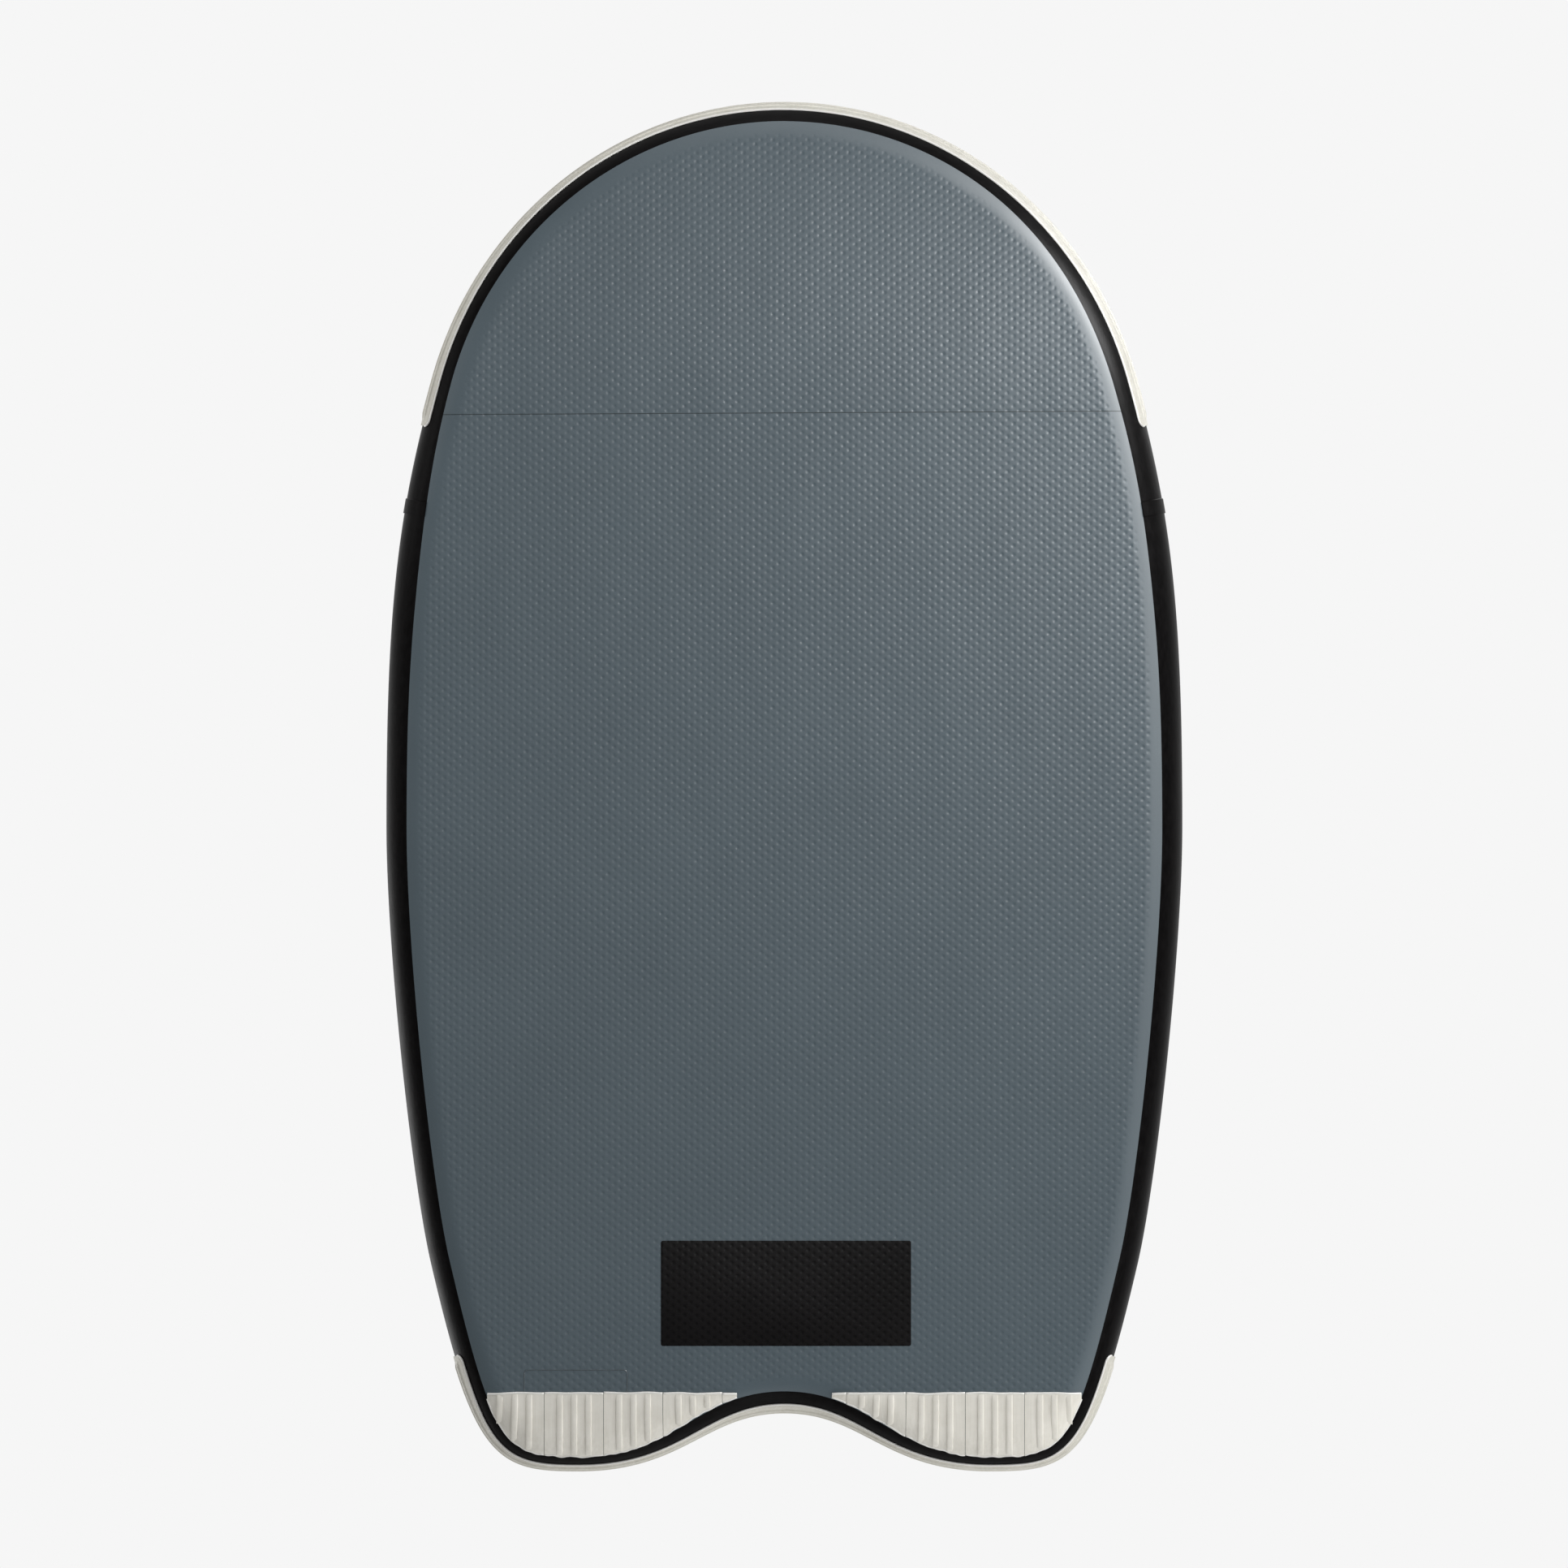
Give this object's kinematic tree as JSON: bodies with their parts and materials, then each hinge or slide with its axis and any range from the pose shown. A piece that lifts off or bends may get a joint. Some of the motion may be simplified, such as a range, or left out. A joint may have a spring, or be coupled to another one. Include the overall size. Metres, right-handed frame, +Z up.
{
  "type": "inflatable watercraft rescue sled",
  "caption": "Inflatable drop-stitch rescue sled with kicked round nose, swallow tail, ribbed rub strakes, wear strips, grab handles, swinging tow rings and a sprung valve.",
  "frame": {"origin": "on the ground under the middle of the sled, at the crests of the wear strips' ribs", "axes": "+Y along the sled from nose to tail, +Z up through the deck, +X to the port side"},
  "size_m": [1.221, 2.1016, 0.2175],
  "materials": {
    "hull_skin": "coated drop-stitch fabric, satin, dimpled",
    "deck_skin": "coated drop-stitch fabric, satin, dimpled",
    "rail_band": "black coated fabric, satin",
    "strake": "bone coloured extruded strip, satin",
    "core": "spacer threads and air",
    "pad": "closed-cell foam, matte",
    "patch": "black coated fabric, satin",
    "webbing": "woven webbing, matte",
    "grip": "moulded rubber, matte",
    "steel": "polished stainless wire",
    "valve": "moulded nylon, satin",
    "seal": "moulded rubber, matte"
  },
  "bodies": {
    "hull": {"drop_stitch_core": "core", "hull_skin_main": "hull_skin", "hull_skin_nose": "hull_skin", "deck_skin": "deck_skin", "rail_band_nose": "rail_band", "rail_band_aft": "rail_band", "rub_strake_nose": "strake", "rub_strake_tail": "strake", "wear_strip_port_1": "strake", "wear_strip_port_2": "strake", "wear_strip_port_3": "strake", "wear_strip_port_4": "strake", "wear_strip_port_5": "strake", "wear_strip_starboard_1": "strake", "wear_strip_starboard_2": "strake", "wear_strip_starboard_3": "strake", "wear_strip_starboard_4": "strake", "wear_strip_starboard_5": "strake", "deck_pad": "pad", "handle_port_fore_patch": "patch", "handle_port_fore_strap": "webbing", "handle_port_fore_grip": "grip", "handle_port_mid_patch": "patch", "handle_port_mid_strap": "webbing", "handle_port_mid_grip": "grip", "handle_port_aft_patch": "patch", "handle_port_aft_strap": "webbing", "handle_port_aft_grip": "grip", "handle_starboard_fore_patch": "patch", "handle_starboard_fore_strap": "webbing", "handle_starboard_fore_grip": "grip", "handle_starboard_mid_patch": "patch", "handle_starboard_mid_strap": "webbing", "handle_starboard_mid_grip": "grip", "handle_starboard_aft_patch": "patch", "handle_starboard_aft_strap": "webbing", "handle_starboard_aft_grip": "grip", "tow_ring_nose_patch": "patch", "tow_ring_nose_loop": "webbing", "tow_ring_port_patch": "patch", "tow_ring_port_loop": "webbing", "tow_ring_starboard_patch": "patch", "tow_ring_starboard_loop": "webbing", "tow_ring_tail_port_patch": "patch", "tow_ring_tail_port_loop": "webbing", "tow_ring_tail_starboard_patch": "patch", "tow_ring_tail_starboard_loop": "webbing", "valve_seal": "seal", "valve_body": "valve", "valve_nut": "valve", "valve_spring": "steel", "valve_tether": "valve"},
    "ring_nose": {"tow_ring_nose_ring": "steel"},
    "ring_port": {"tow_ring_port_ring": "steel"},
    "ring_starboard": {"tow_ring_starboard_ring": "steel"},
    "ring_tail_port": {"tow_ring_tail_port_ring": "steel"},
    "ring_tail_starboard": {"tow_ring_tail_starboard_ring": "steel"},
    "stem": {"valve_stem": "valve"},
    "cap": {"valve_cap": "valve"}
  },
  "joints": [
    {"name": "ring_nose_swing", "type": "hinge", "parent": "hull", "child": "ring_nose", "pos_m": [0, -0.92346, 0.20463], "axis": [-1, 0, 0], "range_deg": [0, 172]},
    {"name": "ring_port_swing", "type": "hinge", "parent": "hull", "child": "ring_port", "pos_m": [0.45306, -0.4852, 0.1602], "axis": [-0.9511, -0.309, 0], "range_deg": [0, 172]},
    {"name": "ring_starboard_swing", "type": "hinge", "parent": "hull", "child": "ring_starboard", "pos_m": [-0.45306, -0.4852, 0.1602], "axis": [-0.9511, 0.309, 0], "range_deg": [0, 172]},
    {"name": "ring_tail_port_swing", "type": "hinge", "parent": "hull", "child": "ring_tail_port", "pos_m": [0.33, 0.93, 0.1602], "axis": [1, 0, 0], "range_deg": [0, 172]},
    {"name": "ring_tail_starboard_swing", "type": "hinge", "parent": "hull", "child": "ring_tail_starboard", "pos_m": [-0.33, 0.93, 0.1602], "axis": [1, 0, 0], "range_deg": [0, 172]},
    {"name": "stem_push", "type": "slide", "parent": "hull", "child": "stem", "axis": [0, 0, -1], "range_m": [0, 0.006], "stiffness_N_per_m": 600, "springref_m": -0.004, "deforming": ["valve_spring"]},
    {"name": "cap_flip", "type": "hinge", "parent": "hull", "child": "cap", "pos_m": [0, 0.805, 0.15825], "axis": [1, 0, 0], "range_deg": [0, 150]}
  ]
}
